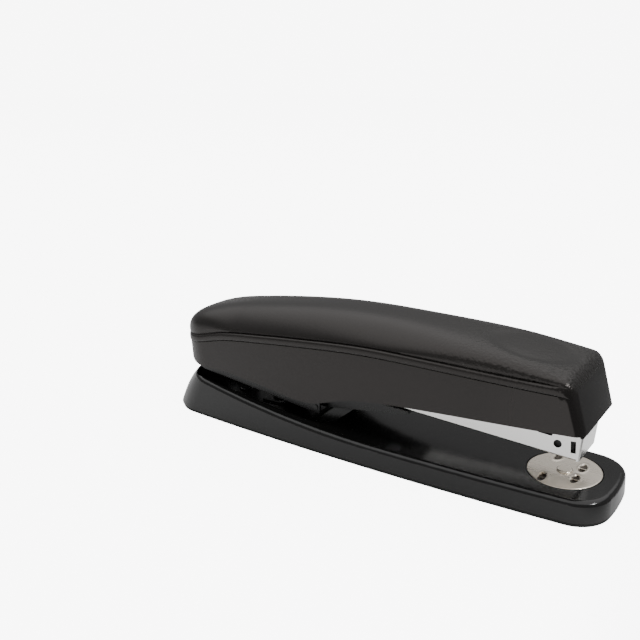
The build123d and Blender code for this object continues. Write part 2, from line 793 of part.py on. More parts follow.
# leaf under the roof that lifts the handle off the magazine's rear cover
handle_leaf_steel = 0.4
handle_leaf_half = 4.0
handle_leaf_x = (-50.0, -20.0)
handle_leaf_drop = 0.6
with BuildPart() as handle_spring:
    with BuildSketch(Plane.XZ):
        with BuildLine():
            Polyline(
                (handle_leaf_x[1], frame_roof),
                (handle_leaf_x[1], frame_roof - handle_leaf_steel),
                (handle_leaf_x[1] - 10, frame_roof - handle_leaf_steel),
                (handle_leaf_x[0], frame_roof - handle_leaf_drop),
                (handle_leaf_x[0], frame_roof - handle_leaf_drop + handle_leaf_steel),
                (handle_leaf_x[1] - 10, frame_roof),
                close=True,
            )
        make_face()
    extrude(amount=handle_leaf_half, both=True)
    disc((leaf_rivet_x, 0), driver_rivet_radius, 0, frame_roof, Mode.SUBTRACT)
write(handle_spring, "handle_spring")

with BuildPart() as leaf_rivet:
    disc((leaf_rivet_x, 0), driver_rivet_radius, frame_roof - handle_leaf_steel, frame_top)
    disc((leaf_rivet_x, 0), 2 * driver_rivet_radius, frame_top, frame_top + 0.7)
write(leaf_rivet, "leaf_rivet")
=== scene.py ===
# %% [markdown]
# # A full-strip desk stapler
# The object is a long gloss-black stapler: a base on the table, a bright magazine above it and a
# moulded cap on top, all on one hinge at the rear. The solid shapes and the joints come from the
# CAD model, and this script gives them their finishes, adds the springs, and lights the scene.
# Everything is in metres, with +X towards the nose, +Y to the left and +Z up.

# %% Load the frame
import bpy
import bmesh
import json
import math
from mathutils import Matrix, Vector


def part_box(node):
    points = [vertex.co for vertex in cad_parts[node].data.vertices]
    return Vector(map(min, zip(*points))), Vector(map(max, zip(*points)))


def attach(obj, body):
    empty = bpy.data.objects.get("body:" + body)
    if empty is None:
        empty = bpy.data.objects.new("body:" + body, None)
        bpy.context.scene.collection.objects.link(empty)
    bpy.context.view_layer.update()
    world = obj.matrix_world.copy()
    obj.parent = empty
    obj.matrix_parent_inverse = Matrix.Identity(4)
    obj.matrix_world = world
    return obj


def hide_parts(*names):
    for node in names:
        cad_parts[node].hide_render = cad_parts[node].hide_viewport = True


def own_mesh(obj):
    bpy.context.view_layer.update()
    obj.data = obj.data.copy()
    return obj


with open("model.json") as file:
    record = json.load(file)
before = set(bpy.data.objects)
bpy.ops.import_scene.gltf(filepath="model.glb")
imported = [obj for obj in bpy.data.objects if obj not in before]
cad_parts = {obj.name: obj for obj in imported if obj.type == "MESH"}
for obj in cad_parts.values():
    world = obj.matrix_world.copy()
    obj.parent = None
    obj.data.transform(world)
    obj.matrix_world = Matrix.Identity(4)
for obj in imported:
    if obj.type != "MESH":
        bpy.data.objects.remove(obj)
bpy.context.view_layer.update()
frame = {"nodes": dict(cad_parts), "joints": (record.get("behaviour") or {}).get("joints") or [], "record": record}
nodes = frame["nodes"]

# %% [markdown]
# ## The camera
# The stapler is seen from the front right and a little above, close up, so the nose looks larger
# than the heel. A longer lens from further away would flatten that, so the distance comes first and
# the lens is chosen to fit. The small shift puts the object low and to the right in a square frame.

# %% Camera
view_turn = math.radians(32.08)
view_height = math.radians(27.07)
view_distance = 0.2478
lens_length = 40.809375
towards_camera = Vector((
    math.sin(view_turn) * math.cos(view_height),
    -math.cos(view_turn) * math.cos(view_height),
    math.sin(view_height),
))
camera_data = bpy.data.cameras.new("camera")
camera_data.sensor_width = 36
camera_data.lens = lens_length
camera_data.shift_x = -0.0873
camera_data.shift_y = 0.1866
camera_data.clip_start = 0.01
camera = bpy.data.objects.new("camera", camera_data)
camera.location = towards_camera * view_distance
camera.rotation_euler = (-towards_camera).to_track_quat("-Z", "Y").to_euler()
bpy.context.collection.objects.link(camera)
bpy.context.scene.camera = camera
print("camera at", [round(v, 3) for v in camera.location], "lens", round(camera_data.lens, 1))

# %% [markdown]
# ## The floor
# A pale sheet under the stapler. A white floor does more than hold the shadow: gloss black plastic
# shows mostly what it reflects, and its upright sides reflect the floor. A plane with a faint
# unevenness in its roughness is enough.

# %% Floor
floor_size = 6.0
floor_mesh = bpy.data.meshes.new("floor")
half = floor_size / 2
floor_mesh.from_pydata(
    [(-half, -half, 0), (half, -half, 0), (half, half, 0), (-half, half, 0)], [], [(0, 1, 2, 3)]
)
floor = bpy.data.objects.new("floor", floor_mesh)
bpy.context.collection.objects.link(floor)
print("floor", floor_size, "m square")

# %% [markdown]
# ## The light
# Gloss black shows only what it reflects, so the light is planned by direction. The upright sides
# reflect the white floor. The level deck reflects the low part of the surroundings, so these are
# kept dark and the deck stays black, while the upper part is bright and lights the cap's satin top.
# The camera itself still sees a plain white background. One large panel hangs overhead, and a
# small bright one stands at the front right and puts the glints on the corners and the rim.
#
# The sky and the finishes are node trees, and three small steps come back in all of them: carrying a
# value from one range to another, a step of arithmetic, and asking for the place on the surface. Each
# is a helper, so that the trees below read as short recipes.


# %% Helpers for node trees
def fade(tree, value, low, high, at_low=0.0, at_high=1.0, smooth=False):
    """Carries a value from one range over to another, and holds it beyond both ends."""
    node = tree.nodes.new("ShaderNodeMapRange")
    if smooth:
        node.interpolation_type = "SMOOTHSTEP"
    ends = {"From Min": low, "From Max": high, "To Min": at_low, "To Max": at_high}
    for label, number in ends.items():
        node.inputs[label].default_value = number
    tree.links.new(value, node.inputs["Value"])
    return node.outputs["Result"]


def combine(tree, operation, *terms):
    """One step of arithmetic on sockets and plain numbers."""
    node = tree.nodes.new("ShaderNodeMath")
    node.operation = operation
    for socket, term in zip(node.inputs, terms):
        if isinstance(term, float):
            socket.default_value = term
        else:
            tree.links.new(term, socket)
    return node.outputs[0]


def coordinates(tree, kind="Object"):
    """The place on the surface as one socket, and its X, Y and Z as three."""
    place = tree.nodes.new("ShaderNodeTexCoord").outputs[kind]
    parts = tree.nodes.new("ShaderNodeSeparateXYZ")
    tree.links.new(place, parts.inputs[0])
    return place, parts.outputs


# %% World
world = bpy.data.worlds.new("studio")
bpy.context.scene.world = world
world.use_nodes = True
sky_tree = world.node_tree
sky = sky_tree.nodes["Background"]
low_sky, high_sky = 0.30, 0.8
dark_below, bright_above = 0.48, 0.80
backdrop_glow = 8.0
_, heading = coordinates(sky_tree, "Generated")
sky_light = fade(sky_tree, heading["Z"], dark_below, bright_above, low_sky, high_sky, smooth=True)
sky_tree.links.new(sky_light, sky.inputs["Strength"])
backdrop = sky_tree.nodes.new("ShaderNodeBackground")
backdrop.inputs["Strength"].default_value = backdrop_glow
for background in (sky, backdrop):
    background.inputs["Color"].default_value = (1, 1, 1, 1)
seen = sky_tree.nodes.new("ShaderNodeLightPath")
pick = sky_tree.nodes.new("ShaderNodeMixShader")
sky_tree.links.new(seen.outputs["Is Camera Ray"], pick.inputs["Fac"])
sky_tree.links.new(sky.outputs[0], pick.inputs[1])
sky_tree.links.new(backdrop.outputs[0], pick.inputs[2])
sky_tree.links.new(pick.outputs[0], sky_tree.nodes["World Output"].inputs["Surface"])
print("sky from", low_sky, "low down to", high_sky, "overhead")


# %% Panels
def light_panel(name, place, target, size, watts, tint=(1, 1, 1)):
    """A rectangular soft light that faces a point."""
    data = bpy.data.lights.new(name, "AREA")
    data.shape = "RECTANGLE"
    data.size, data.size_y = size
    data.energy = watts
    data.color = tint
    lamp = bpy.data.objects.new(name, data)
    lamp.location = place
    lamp.rotation_euler = (Vector(target) - Vector(place)).to_track_quat("-Z", "Y").to_euler()
    bpy.context.collection.objects.link(lamp)
    return lamp


light_panel("overhead_panel", (-0.05, 0.10, 1.0), (0, 0, 0.02), (2.6, 2.4), 15.0)
light_panel("front_panel", (0.72, -0.12, 0.55), (0.07, 0, 0.03), (0.09, 0.09), 3.0)

# %% [markdown]
# ## Shared surface effects
# Three effects come back on many finishes, so each is a node group with named sockets. Handling
# marks vary the roughness, as fingers and cloths leave any gloss surface a little uneven. Moulded
# grain is the fine leathery relief of a plastic tool. Drawn metal has fine lines along the sheet.


# %% Helper for node groups
def effect_group(name, inputs, outputs):
    """An empty node group with its named sockets, ready to be filled."""
    group = bpy.data.node_groups.new(name, "ShaderNodeTree")
    for label, value in inputs.items():
        socket = group.interface.new_socket(label, in_out="INPUT", socket_type="NodeSocketFloat")
        socket.default_value = value
    for label in outputs:
        group.interface.new_socket(label, in_out="OUTPUT", socket_type="NodeSocketFloat")
    return group, group.nodes.new("NodeGroupInput"), group.nodes.new("NodeGroupOutput")


# %% Handling marks
marks, marks_in, marks_out = effect_group(
    "handling_marks", {"Scale": 60.0, "Roughness": 0.2, "Spread": 0.05}, ["Roughness", "Height"]
)
place = marks.nodes.new("ShaderNodeTexCoord")
cloud = marks.nodes.new("ShaderNodeTexNoise")
cloud.inputs["Detail"].default_value = 6
cloud.inputs["Roughness"].default_value = 0.62
marks.links.new(place.outputs["Object"], cloud.inputs["Vector"])
marks.links.new(marks_in.outputs["Scale"], cloud.inputs["Scale"])
swing = combine(marks, "SUBTRACT", cloud.outputs["Fac"], 0.5)
amount = combine(
    marks, "MULTIPLY_ADD", swing, marks_in.outputs["Spread"], marks_in.outputs["Roughness"]
)
marks.links.new(amount, marks_out.inputs["Roughness"])
marks.links.new(cloud.outputs["Fac"], marks_out.inputs["Height"])
print("handling marks:", len(marks.nodes), "nodes")

# %% Moulded grain
grain, grain_in, grain_out = effect_group("moulded_grain", {"Scale": 900.0}, ["Height"])
place = grain.nodes.new("ShaderNodeTexCoord")
cells = grain.nodes.new("ShaderNodeTexVoronoi")
cells.feature = "SMOOTH_F1"
cells.inputs["Smoothness"].default_value = 0.7
ripple = grain.nodes.new("ShaderNodeTexNoise")
ripple.inputs["Detail"].default_value = 3
for texture in (cells, ripple):
    grain.links.new(place.outputs["Object"], texture.inputs["Vector"])
    grain.links.new(grain_in.outputs["Scale"], texture.inputs["Scale"])
both = combine(grain, "ADD", cells.outputs["Distance"], ripple.outputs["Fac"])
grain.links.new(both, grain_out.inputs["Height"])
print("moulded grain:", len(grain.nodes), "nodes")

# %% Drawn metal
drawn, drawn_in, drawn_out = effect_group(
    "drawn_metal",
    {"Scale": 300.0, "Stretch": 0.03, "Roughness": 0.2, "Spread": 0.1},
    ["Roughness", "Height"],
)
place = drawn.nodes.new("ShaderNodeTexCoord")
squeeze = drawn.nodes.new("ShaderNodeCombineXYZ")
squeeze.inputs["Y"].default_value = 1.0
squeeze.inputs["Z"].default_value = 1.0
drawn.links.new(drawn_in.outputs["Stretch"], squeeze.inputs["X"])
along = drawn.nodes.new("ShaderNodeVectorMath")
along.operation = "MULTIPLY"
drawn.links.new(place.outputs["Object"], along.inputs[0])
drawn.links.new(squeeze.outputs[0], along.inputs[1])
streaks = drawn.nodes.new("ShaderNodeTexNoise")
streaks.inputs["Detail"].default_value = 4
drawn.links.new(along.outputs[0], streaks.inputs["Vector"])
drawn.links.new(drawn_in.outputs["Scale"], streaks.inputs["Scale"])
level = combine(
    drawn, "MULTIPLY_ADD", streaks.outputs["Fac"], drawn_in.outputs["Spread"], drawn_in.outputs["Roughness"]
)
drawn.links.new(level, drawn_out.inputs["Roughness"])
drawn.links.new(streaks.outputs["Fac"], drawn_out.inputs["Height"])
print("effects:", [g.name for g in bpy.data.node_groups])


# %% [markdown]
# ## Finishes
# Each finish is one Principled shader. What is constant over the surface is set on the shader's own
# socket, and only what varies is linked in. The helpers below make the material, place a group in it
# with its own values, and turn a height into a bump.


# %% Helpers for finishes
def new_finish(name, colour, metallic=0.0, ior=1.5):
    """A material with one Principled shader. Returns the material, its node tree and the shader."""
    material = bpy.data.materials.new(name)
    material.use_nodes = True
    shader = material.node_tree.nodes["Principled BSDF"]
    shader.inputs["Base Color"].default_value = (*colour, 1)
    shader.inputs["Metallic"].default_value = metallic
    shader.inputs["IOR"].default_value = ior
    return material, material.node_tree, shader


def place_effect(tree, group, values):
    """Puts a shared effect into a material with its own values."""
    node = tree.nodes.new("ShaderNodeGroup")
    node.node_tree = group
    for label, value in values.items():
        node.inputs[label].default_value = value
    return node


def add_bump(tree, shader, height, strength, depth, mask=None):
    """Tilts the surface by a height, with its depth in metres. A mask takes the strength's place."""
    bump = tree.nodes.new("ShaderNodeBump")
    bump.inputs["Strength"].default_value = strength
    bump.inputs["Distance"].default_value = depth
    tree.links.new(height, bump.inputs["Height"])
    if mask:
        tree.links.new(mask, bump.inputs["Strength"])
    tree.links.new(bump.outputs["Normal"], shader.inputs["Normal"])


# %% [markdown]
# ### Gloss black plastic
# The cap and the base are moulded in the same black plastic with a polished face. Almost all of
# their look is reflection, so the colour is nearly black. The front of the cap's crown carries a fine
# leathery grain for grip, and the thumb rest in it is smoother. Such areas don't need geometry: masks
# made from the place on the cap fade the grain in and out.

# %% Grain on the cap
cap_black, tree, shader = new_finish("cap_black", (0.0055, 0.0052, 0.005))
shader.inputs["Specular Tint"].default_value = (1.0, 0.93, 0.90, 1)
cap_marks = place_effect(tree, marks, {"Scale": 45.0, "Roughness": 0.35, "Spread": 0.06})
cap_grain = place_effect(tree, grain, {"Scale": 1100.0})
cap_place, cap_parts = coordinates(tree)
grain_depth = 0.00017
towards_front = fade(tree, cap_parts["X"], 0.020, 0.060, 0.05, 1.0)
on_crown = fade(tree, cap_parts["Z"], 0.0375, 0.0395)

# %% Smooth thumb rest
rest_space = tree.nodes.new("ShaderNodeMapping")
rest_space.vector_type = "TEXTURE"
rest_space.inputs["Location"].default_value = (0.0525, 0, 0.043)
rest_space.inputs["Scale"].default_value = (0.015, 0.011, 0.02)
tree.links.new(cap_place, rest_space.inputs["Vector"])
rest_reach = tree.nodes.new("ShaderNodeVectorMath")
rest_reach.operation = "LENGTH"
tree.links.new(rest_space.outputs["Vector"], rest_reach.inputs[0])
outside_rest = fade(tree, rest_reach.outputs["Value"], 0.85, 1.0, 0.2, 1.0)
grip = combine(tree, "MULTIPLY", towards_front, outside_rest)
crown_grip = combine(tree, "MULTIPLY", grip, on_crown)
add_bump(tree, shader, cap_grain.outputs["Height"], 0.3, grain_depth, mask=crown_grip)
print("grain", round(grain_depth * 1000, 2), "mm deep on the crown")

# %% Polished nose
# below the bead the plastic is polished around the nose, so its roughness falls there
polish_gain = -0.20
towards_nose = fade(tree, cap_parts["X"], 0.045, 0.066)
below_bead = combine(tree, "SUBTRACT", 1.0, on_crown)
polish = combine(tree, "MULTIPLY", towards_nose, below_bead)
cap_roughness = combine(tree, "MULTIPLY_ADD", polish, polish_gain, cap_marks.outputs["Roughness"])
tree.links.new(cap_roughness, shader.inputs["Roughness"])
print("cap:", len(tree.nodes), "nodes")

# %% Base plastic
base_black, tree, shader = new_finish("base_black", (0.0045, 0.0044, 0.0043))
base_marks = place_effect(tree, marks, {"Scale": 55.0, "Roughness": 0.16, "Spread": 0.05})
tree.links.new(base_marks.outputs["Roughness"], shader.inputs["Roughness"])
add_bump(tree, shader, base_marks.outputs["Height"], 0.05, 0.0001)
print("base:", len(tree.nodes), "nodes")

# %% [markdown]
# ### Black rubber and black painted steel
# The sole is matt rubber, so its roughness is high and its relief coarse. The bracket, the carrier
# and the return spring are steel under semi-gloss black paint, which is smoother but not polished.

# %% Sole rubber
sole_black, tree, shader = new_finish("sole_black", (0.008, 0.008, 0.008))
sole_grain = place_effect(tree, grain, {"Scale": 500.0})
shader.inputs["Roughness"].default_value = 0.75
add_bump(tree, shader, sole_grain.outputs["Height"], 0.4, 0.0001)

# %% Black paint on steel
steel_black, tree, shader = new_finish("steel_black", (0.006, 0.006, 0.006))
paint_marks = place_effect(tree, marks, {"Scale": 120.0, "Roughness": 0.28, "Spread": 0.12})
tree.links.new(paint_marks.outputs["Roughness"], shader.inputs["Roughness"])
add_bump(tree, shader, paint_marks.outputs["Height"], 0.15, 0.0001)
print("black finishes:", cap_black.name, base_black.name, sole_black.name, steel_black.name)


# %% [markdown]
# ### Plated and bare steel
# The magazine is bright nickel plate over drawn sheet, the anvil is nickel too but a touch warmer,
# and the hidden structure is duller zinc or bare spring steel. One helper makes them all, because
# they differ only in their colour, their roughness and how fine and strong their lines are.


# %% Metals
def metal_finish(name, colour, roughness, spread, scale=300.0, relief=0.1):
    """Bright sheet metal with fine drawing lines."""
    material, tree, shader = new_finish(name, colour, metallic=1.0)
    lines = place_effect(tree, drawn, {"Scale": scale, "Roughness": roughness, "Spread": spread})
    tree.links.new(lines.outputs["Roughness"], shader.inputs["Roughness"])
    add_bump(tree, shader, lines.outputs["Height"], relief, 0.00005)
    return material


magazine_nickel = metal_finish("magazine_nickel", (0.94, 0.93, 0.91), 0.16, 0.10)
anvil_plain_colour = (0.84, 0.77, 0.67)
anvil_nickel = metal_finish("anvil_nickel", anvil_plain_colour, 0.22, 0.12, scale=180.0, relief=0.06)
# painted shade: a near-black metal for the rail and the follower, which lie in the channel's shade
rail_shade_black = metal_finish("rail_shade_black", (0.045, 0.045, 0.045), 0.45, 0.15)
zinc_grey = metal_finish("zinc_grey", (0.55, 0.56, 0.58), 0.32, 0.15)
spring_grey = metal_finish("spring_grey", (0.46, 0.46, 0.47), 0.25, 0.12)
driver_grey = metal_finish("driver_grey", (0.36, 0.36, 0.37), 0.22, 0.10)
print("finishes so far:", [material.name for material in bpy.data.materials])

# %% [markdown]
# The anvil's grooves get a dark colour as painted shade. The shade could be a painted mask, but the grooves
# are simply what lies deeper than the anvil's top face, so the height alone tells them apart.

# %% Painted shade in the anvil's grooves
anvil_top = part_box("anvil_plate")[1][2]
# painted shade: a dark colour in the grooves, fading out just below the anvil's top face
anvil_groove_shade = (0.07, 0.06, 0.05)
shaded_below, unshaded_above = anvil_top - 0.00035, anvil_top - 0.00005
tree = anvil_nickel.node_tree
_, anvil_parts = coordinates(tree)
groove_shade_mix = tree.nodes.new("ShaderNodeMix")
groove_shade_mix.data_type = "RGBA"
shade_colours = [socket for socket in groove_shade_mix.inputs if socket.type == "RGBA"]
shade_colours[0].default_value = (*anvil_groove_shade, 1)
shade_colours[1].default_value = (*anvil_plain_colour, 1)
tree.links.new(fade(tree, anvil_parts["Z"], shaded_below, unshaded_above), groove_shade_mix.inputs["Factor"])
mixed = next(socket for socket in groove_shade_mix.outputs if socket.type == "RGBA")
tree.links.new(mixed, tree.nodes["Principled BSDF"].inputs["Base Color"])
print("anvil top at", round(anvil_top * 1000, 2), "mm")

# %% Put the finishes on the CAD pieces
finish_of_slot = {
    "cap_plastic": cap_black,
    "base_plastic": base_black,
    "sole_rubber": sole_black,
    "black_steel": steel_black,
    "plated_steel": magazine_nickel,
    "anvil_nickel": anvil_nickel,
    "spring_steel": spring_grey,
    "zinc_steel": zinc_grey,
    "hard_steel": driver_grey,
}
for sub in frame["record"]["subparts"]:
    nodes[sub["node"]].material_slots[0].material = finish_of_slot[sub["material_slot"]]
# the rail and the follower get a near-black metal as painted shade, for the shade they lie in inside the channel,
# so the holes look dark
for name in ("staple_rail", "follower"):
    nodes[name].material_slots[0].material = rail_shade_black
print("finishes:", len(finish_of_slot))

# %% [markdown]
# The floor glows for the camera only, so it looks as plain as the backdrop, while the object still
# gets just the light that a white floor sends back. The white sheet ends a little beyond the nose, so
# the cap's front face, which reflects that stretch, stays black.

# %% Floor finish
floor_glow = 7.4
floor_pale, floor_dark = 0.86, 0.12
floor_white, tree, shader = new_finish("floor_white", (floor_pale, floor_pale, floor_pale))
floor_marks = place_effect(tree, marks, {"Scale": 3.0, "Roughness": 0.8, "Spread": 0.1})
tree.links.new(floor_marks.outputs["Roughness"], shader.inputs["Roughness"])
shader.inputs["Emission Color"].default_value = (1, 1, 1, 1)
floor_seen = tree.nodes.new("ShaderNodeLightPath")
floor_light = combine(tree, "MULTIPLY", floor_seen.outputs["Is Camera Ray"], floor_glow)
tree.links.new(floor_light, shader.inputs["Emission Strength"])
_, floor_parts = coordinates(tree)
sheet = fade(tree, floor_parts["X"], 0.08, 0.11, floor_pale, floor_dark, smooth=True)
tree.links.new(sheet, shader.inputs["Base Color"])
floor.data.materials.append(floor_white)
print("floor glow", floor_glow, "colour", floor_pale, "to", floor_dark)

# %% [markdown]
# ## The cap's skin
# The cap is the largest thing in view, and its CAD solid is a plain loft. Here its skin is laid out
# again as a fine grid: stations run from the rear end to the front face, and every station is the
# same section, sized by smooth lines along the cap. The section climbs the skirt, goes over a small
# bead, and then over the crown as a superellipse, which is flat on top and turns down softly. Both
# ends are rounded by shrinking the section along a quarter curve, so neither ends in a sharp edge.

# %% Lines along the cap
mm = 0.001
cap_low, cap_high = (Vector(c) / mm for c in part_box("cap_shell"))
cap_length = cap_high.x - cap_low.x


def line_through(knots, where):
    """A smooth line through a few (place, value) knots, flat beyond both ends."""
    places = [k[0] for k in knots]
    values = [k[1] for k in knots]
    if where <= places[0]:
        return values[0]
    if where >= places[-1]:
        return values[-1]
    i = max(k for k in range(len(places) - 1) if places[k] <= where)
    before, after = max(i - 1, 0), min(i + 2, len(places) - 1)
    step = places[i + 1] - places[i]
    slope_a = (values[i + 1] - values[before]) / (places[i + 1] - places[before]) * step
    slope_b = (values[after] - values[i]) / (places[after] - places[i]) * step
    t = (where - places[i]) / step
    return (
        (2 * t**3 - 3 * t**2 + 1) * values[i]
        + (t**3 - 2 * t**2 + t) * slope_a
        + (3 * t**2 - 2 * t**3) * values[i + 1]
        + (t**3 - t**2) * slope_b
    )


def ramp(low, high, value):
    """Goes smoothly from 0 to 1 between two values."""
    t = min(max((value - low) / (high - low), 0), 1)
    return t * t * (3 - 2 * t)


# distances are from the rear end, heights from the table, all in millimetres
narrowing = [(0, 1.1), (15, 0.7), (39, 0.2), (65, 0.0), (91, 0.0), (121, 0.3), (150, 1.1)]
lower_edge = [
    (0, 18.3), (7, 18.3), (24, 18.7), (41, 17.3), (60, 15.6), (77, 20.2), (97, 22.7), (150.6, 26.2),
]
shoulder = [
    (0, 28.4), (11, 30.0), (24, 32.9), (42, 35.2), (59, 37.0), (76, 38.5),
    (90, 39.1), (137, 39.2), (150, 39.4),
]
crown = [
    (0, 35.0), (15, 39.3), (39, 43.3), (65, 46.0), (91, 46.4), (121, 44.9), (137, 43.0), (150, 40.6),
]
front_lean = math.tan(math.radians(19))
front_low = 26.2
nose_level = 25.0
rear_round = 13.0
rear_gap = 1.2
print("cap", round(cap_length, 1), "mm long,", len(crown), "knots in its crown line")

# %% One section of the cap
skirt_steps, bead_steps, crown_steps = 8, 14, 30
bead_height, bead_depth, bead_gap = 2.7, 0.5, 0.15
bead_bulge, bulge_power = 0.8, 0.85
bead_groove, groove_power = 0.3, 8
crown_power = 3.0
crown_least, crown_more, least_height = 0.14, 0.3, 0.02
wall_thickness = 0.6
edge_per_wall, edge_per_shrink = 0.4, 0.3
lower_rise, upper_rise, upper_power = 13.0, 10.0, 2.8
arched_most = 0.75
# the stretches over which the bead and the flatter arch grow, and those over which they fade again
bead_grows, bead_fades = (1.5, 9), (138, 145)
arch_grows, arch_fades = (12, 30), (85, 125)


def quarter_curve(share):
    """How far a quarter circle still stands off: 1 where it starts and 0 where it ends."""
    return 1 - math.sqrt(1 - (1 - share) ** 2)


def section_levels(distance, wall, shrink):
    """The lower edge, the top of the bead and the top of the crown at one distance."""
    low = line_through(lower_edge, distance)
    low += (nose_level - low) * quarter_curve(min(distance / lower_rise, 1))
    rise = min(distance / upper_rise, 1)
    reached = (1 - (1 - rise) ** upper_power) ** (1 / upper_power)
    top = nose_level + (line_through(crown, distance) - nose_level) * reached - wall - shrink
    top = max(top, low + least_height)
    crown_share = crown_least + crown_more * (1 - rise) ** 2
    edge = line_through(shoulder, distance) - edge_per_wall * wall - edge_per_shrink * shrink
    return low, min(edge, top - crown_share * (top - low)), top


def section_half(distance, wall, shrink):
    """Half of a section, from the lower edge up to the crown's middle line, as (across, height)."""
    half = cap_high.y - line_through(narrowing, distance) - bead_depth - wall - shrink
    corner = rear_round - 2 * wall
    half -= corner * quarter_curve(min(max(distance / corner, 0), 1))
    low, edge, top = section_levels(distance, wall, shrink)
    below = min(bead_height + bead_gap, 0.5 * (edge - low))
    points = [(half, low + (edge - below - low) * i / skirt_steps) for i in range(skirt_steps + 1)]
    bead = 0 if wall else ramp(*bead_grows, distance) * (1 - ramp(*bead_fades, distance))
    for i in range(bead_steps + 1):
        turn = math.pi * i / bead_steps
        out = bead_bulge * math.sin(turn) ** bulge_power
        out -= bead_groove * abs(math.cos(turn)) ** groove_power
        up = bead_gap + (below - bead_gap) * (1 - math.cos(turn)) / 2
        points.append((half + bead * out, edge - below + up))
    # over the rear and the middle the crown is a flatter arch that meets the bead at an angle
    arched = arched_most * ramp(*arch_grows, distance) * (1 - ramp(*arch_fades, distance))
    climb = top - edge - bead_gap
    for i in range(1, crown_steps + 1):
        turn = math.pi / 2 * i / crown_steps
        full_across = half * math.cos(turn) ** (2 / crown_power)
        full_height = edge + bead_gap + climb * math.sin(turn) ** (2 / crown_power)
        arch_across = half * math.cos(turn)
        arch_height = top - climb * math.cos(turn) ** crown_power
        across = full_across + (arch_across - full_across) * arched
        height = full_height + (arch_height - full_height) * arched
        points.append((across if i < crown_steps else 0, height))
    return points


print("half a section:", len(section_half(cap_length / 2, 0, 0)), "points")

# %% Stations along the cap
front_round, front_bow, front_per_wall = 3.0, 0.3, 0.9
lean_start, bow_start = 95, 120
rear_turns, middle_stations, front_turns = 14, 110, 8
dish_middle, dish_half, dish_side, dish_depth = 129.5, 15.0, 11.0, 0.4
dish_rim, dish_starts = (0.7, 1.0), (38, 41)


def stations(wall):
    """(distance, shrink) of every station; the last few round the edge of the front face."""
    places = []
    for i in range(rear_turns + 1):
        turn = math.pi / 2 * i / rear_turns
        places.append((rear_gap + wall + rear_round * (1 - math.cos(turn)), 0))
    start = places[-1][0]
    straight_end = cap_length - front_per_wall * wall - front_round
    for i in range(1, middle_stations + 1):
        places.append((start + (straight_end - start) * i / middle_stations, 0))
    for i in range(1, front_turns + 1):
        turn = math.pi / 2 * i / front_turns
        shrink = front_round * (1 - math.cos(turn))
        places.append((straight_end + front_round * math.sin(turn), shrink))
    return places


def cap_point(distance, across, height, wall):
    """Leans the stations back towards the front face, and presses the thumb rest into the crown."""
    lean = ramp(lean_start, cap_length, distance)
    along = distance - lean * front_lean * (height - front_low)
    if not wall:
        reach = math.hypot((along - dish_middle) / dish_half, across / dish_side)
        height -= dish_depth * (1 - ramp(*dish_rim, reach)) * ramp(*dish_starts, height)
    along -= front_bow * ramp(bow_start, cap_length, distance) * (across / cap_high.y) ** 2
    return Vector((cap_low.x + along, across, height)) * mm


print("stations along the cap:", len(stations(0)))


# %% Outer and inner skin
gap_fades = (14, 34)


def skin_rows(mesh, wall):
    """The points of one skin, a row of them for each station."""
    rows = []
    for distance, shrink in stations(wall):
        lean = ramp(lean_start, cap_length, distance) * front_lean
        top_distance = distance - lean * (line_through(crown, distance) - front_low)
        behind = (rear_gap + wall) * (1 - ramp(*gap_fades, distance))
        base_half = section_half(distance - behind, wall, shrink)
        top_half = section_half(top_distance, wall, shrink) if lean else base_half
        half = []
        for a, b in zip(base_half, top_half):
            share = ramp(front_low, line_through(shoulder, distance), a[1])
            half.append((a[0] + (b[0] - a[0]) * share, a[1] + (b[1] - a[1]) * share))
        whole = half + [(-y, z) for y, z in half[-2::-1]]
        rows.append([mesh.verts.new(cap_point(distance, y, z, wall)) for y, z in whole])
    return rows


cap_mesh = bmesh.new()
outer, inner = (skin_rows(cap_mesh, wall) for wall in (0, wall_thickness))
print("points in a row:", len(outer[0]))


# %% [markdown]
# Every shape below is a set of rows of points, joined by faces. A loft in the user interface does the
# same with curves, but rows made in code stay exact when a size changes. Two helpers do the joining
# and make the finished piece.


# %% Helpers for meshes
def join_rows(mesh, rows, closed, smooth=True):
    """Joins each row to the next by faces. A closed row also joins its end to its start."""
    for row, following in zip(rows, rows[1:]):
        for i in range(len(row) if closed else len(row) - 1):
            j = (i + 1) % len(row)
            mesh.faces.new((row[i], row[j], following[j], following[i])).smooth = smooth


def piece_from(mesh, name, material, sharp_angle=None):
    """The finished object of a mesh under construction. Edges sharper than the angle stay crisp."""
    bmesh.ops.recalc_face_normals(mesh, faces=mesh.faces)
    data = bpy.data.meshes.new(name)
    mesh.to_mesh(data)
    mesh.free()
    if sharp_angle:
        data.set_sharp_from_angle(angle=math.radians(sharp_angle))
    data.materials.append(material)
    piece = bpy.data.objects.new(name, data)
    bpy.context.collection.objects.link(piece)
    return piece


# %% Cap skin
for rows in (outer, inner):
    join_rows(cap_mesh, rows, closed=False)
    for end in (rows[-1], rows[0]):
        cap_mesh.faces.new(end).smooth = True
rims = [[row[0] for row in rows] + [row[-1] for row in rows[::-1]] for rows in (outer, inner)]
join_rows(cap_mesh, rims, closed=True)
cap_skin = piece_from(cap_mesh, "cap_skin", cap_black, sharp_angle=40)
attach(cap_skin, "handle")
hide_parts("cap_shell")
print("cap skin:", len(cap_skin.data.vertices), "points")

# %% [markdown]
# ## The anvil
# The anvil is a thin nickel-plated disc. Its grooves are pressed, not milled: each is a small leaf
# with a soft rim, and a clinch groove has a ridge across its middle that parts the two legs. A fine
# grid carries these heights on top, and a rounded edge and a flat underside close the disc.

